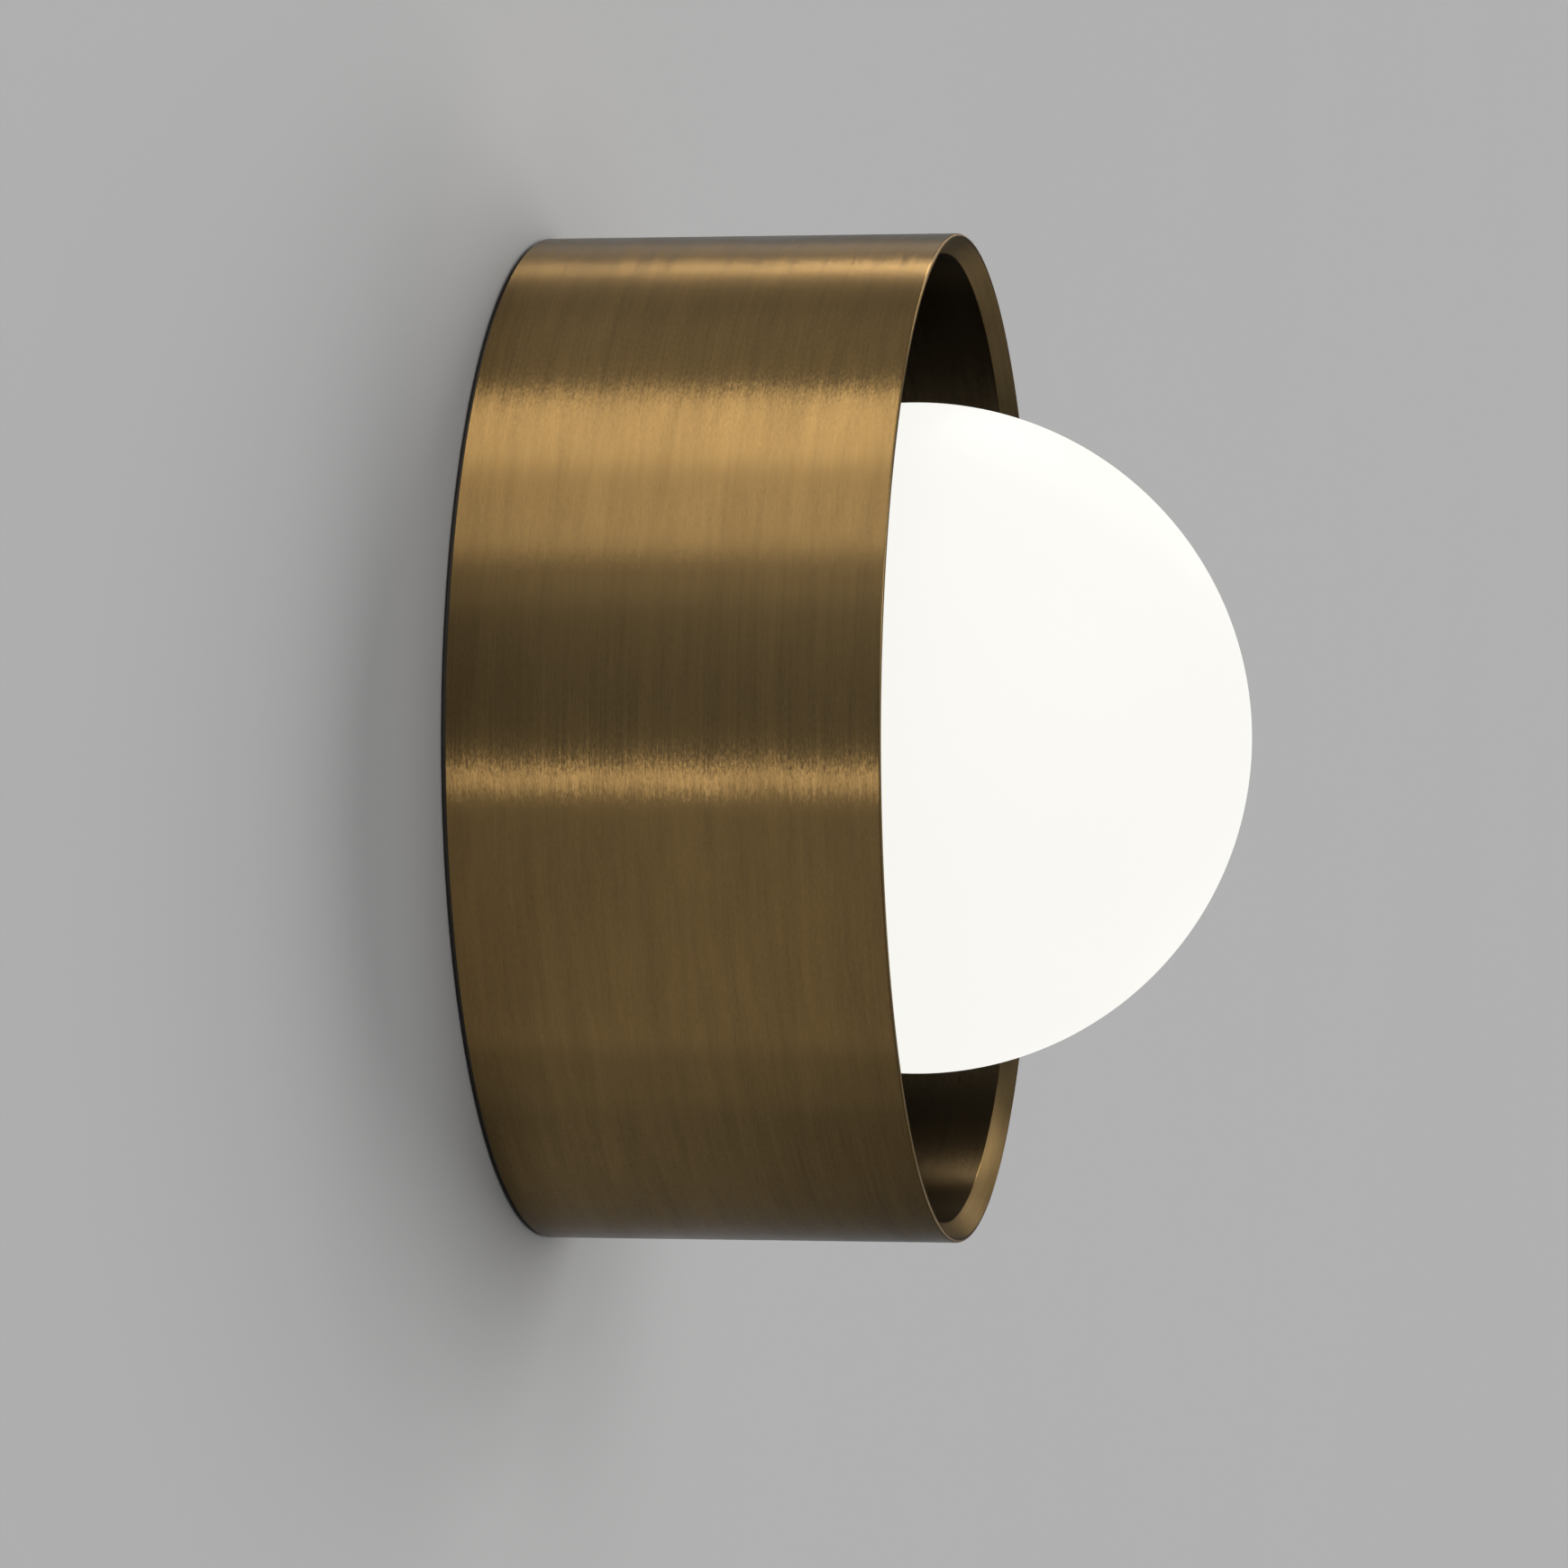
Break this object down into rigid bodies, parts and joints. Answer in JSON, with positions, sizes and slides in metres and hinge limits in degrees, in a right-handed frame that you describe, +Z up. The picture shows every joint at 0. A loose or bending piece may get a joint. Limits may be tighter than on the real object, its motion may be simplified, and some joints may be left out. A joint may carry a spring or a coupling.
{
  "type": "orb wall light",
  "caption": "Wall light with an opal globe half sunk in a wide brushed brass ring, on a pan that hangs on a wall bar.",
  "frame": {"origin": "on the wall plane, midway between the two slots of the wall bar, on the ring's axis", "axes": "+Z up, -Y out of the wall along the ring's axis, +Y into the wall, +X to the right seen from the room"},
  "size_m": [0.18, 0.1262, 0.18],
  "materials": {
    "antique_brass": "brushed round the axis, aged",
    "brass_screws": "turned, aged",
    "foam_gasket": "matt foam",
    "zinc_steel": "zinc plated",
    "zinc_screws": "zinc plated, bright",
    "bare_aluminium": "satin",
    "opal_glass": "opal white, satin",
    "collar_brass": "turned",
    "silicone": "soft",
    "ceramic": "glazed white",
    "contact_bronze": "sheet",
    "black_rubber": "moulded",
    "lamp_white": "moulded",
    "lamp_diffuser": "frosted",
    "nickel_pins": "nickel plated",
    "board_white": "solder mask",
    "led_yellow": "phosphor",
    "block_white": "moulded",
    "tinned_copper": "tinned",
    "brown_pvc": "extruded",
    "blue_pvc": "extruded",
    "green_yellow_pvc": "extruded"
  },
  "bodies": {
    "base": {"wall_gasket": "foam_gasket", "wall_bar": "zinc_steel", "bar_pillars": "zinc_steel", "back_pan": "antique_brass", "pan_studs": "collar_brass", "pan_screws": "brass_screws", "pan_washers": "brass_screws", "globe_cup": "bare_aluminium", "cup_screws": "zinc_screws", "cup_nuts": "zinc_screws", "socket_bracket": "zinc_steel", "bracket_screws": "zinc_screws", "bracket_nuts": "zinc_screws", "lamp_socket": "ceramic", "socket_screws": "zinc_screws", "socket_contacts": "contact_bronze", "wire_grommet": "black_rubber", "terminal_block": "block_white", "terminal_cages": "collar_brass", "terminal_screws": "zinc_screws", "block_nut": "zinc_screws", "earth_tag": "tinned_copper", "earth_washer": "zinc_screws", "earth_nut": "zinc_screws", "live_wire": "brown_pvc", "neutral_wire": "blue_pvc", "earth_wire": "green_yellow_pvc"},
    "ring": {"ring_shade": "antique_brass", "ring_grub_screws": "brass_screws"},
    "lamp": {"lamp_base": "lamp_white", "lamp_cover": "lamp_diffuser", "lamp_pins": "nickel_pins", "lamp_board": "board_white", "lamp_leds": "led_yellow"},
    "globe_seal_ring": {"globe_seal": "silicone"},
    "globe_unit": {"globe": "opal_glass", "globe_collar": "collar_brass"}
  },
  "joints": [
    {"name": "ring_slide", "type": "slide", "parent": "base", "child": "ring", "axis": [0, -1, 0], "range_m": [0, 0.13]},
    {"name": "globe_advance", "type": "slide", "parent": "base", "child": "globe_seal_ring", "axis": [0, -1, 0], "range_m": [0, 0.0032]},
    {"name": "globe_turn", "type": "hinge", "parent": "globe_seal_ring", "child": "globe_unit", "pos_m": [0, -0.0662, 0], "axis": [0, -1, 0], "range_deg": [0, 360]},
    {"name": "lamp_pull", "type": "slide", "parent": "base", "child": "lamp", "axis": [0, -1, 0], "range_m": [0, 0.012]}
  ],
  "couplings": [
    {"joint": "globe_advance", "follows": "globe_turn", "m_per_rad": 0.0005093}
  ]
}
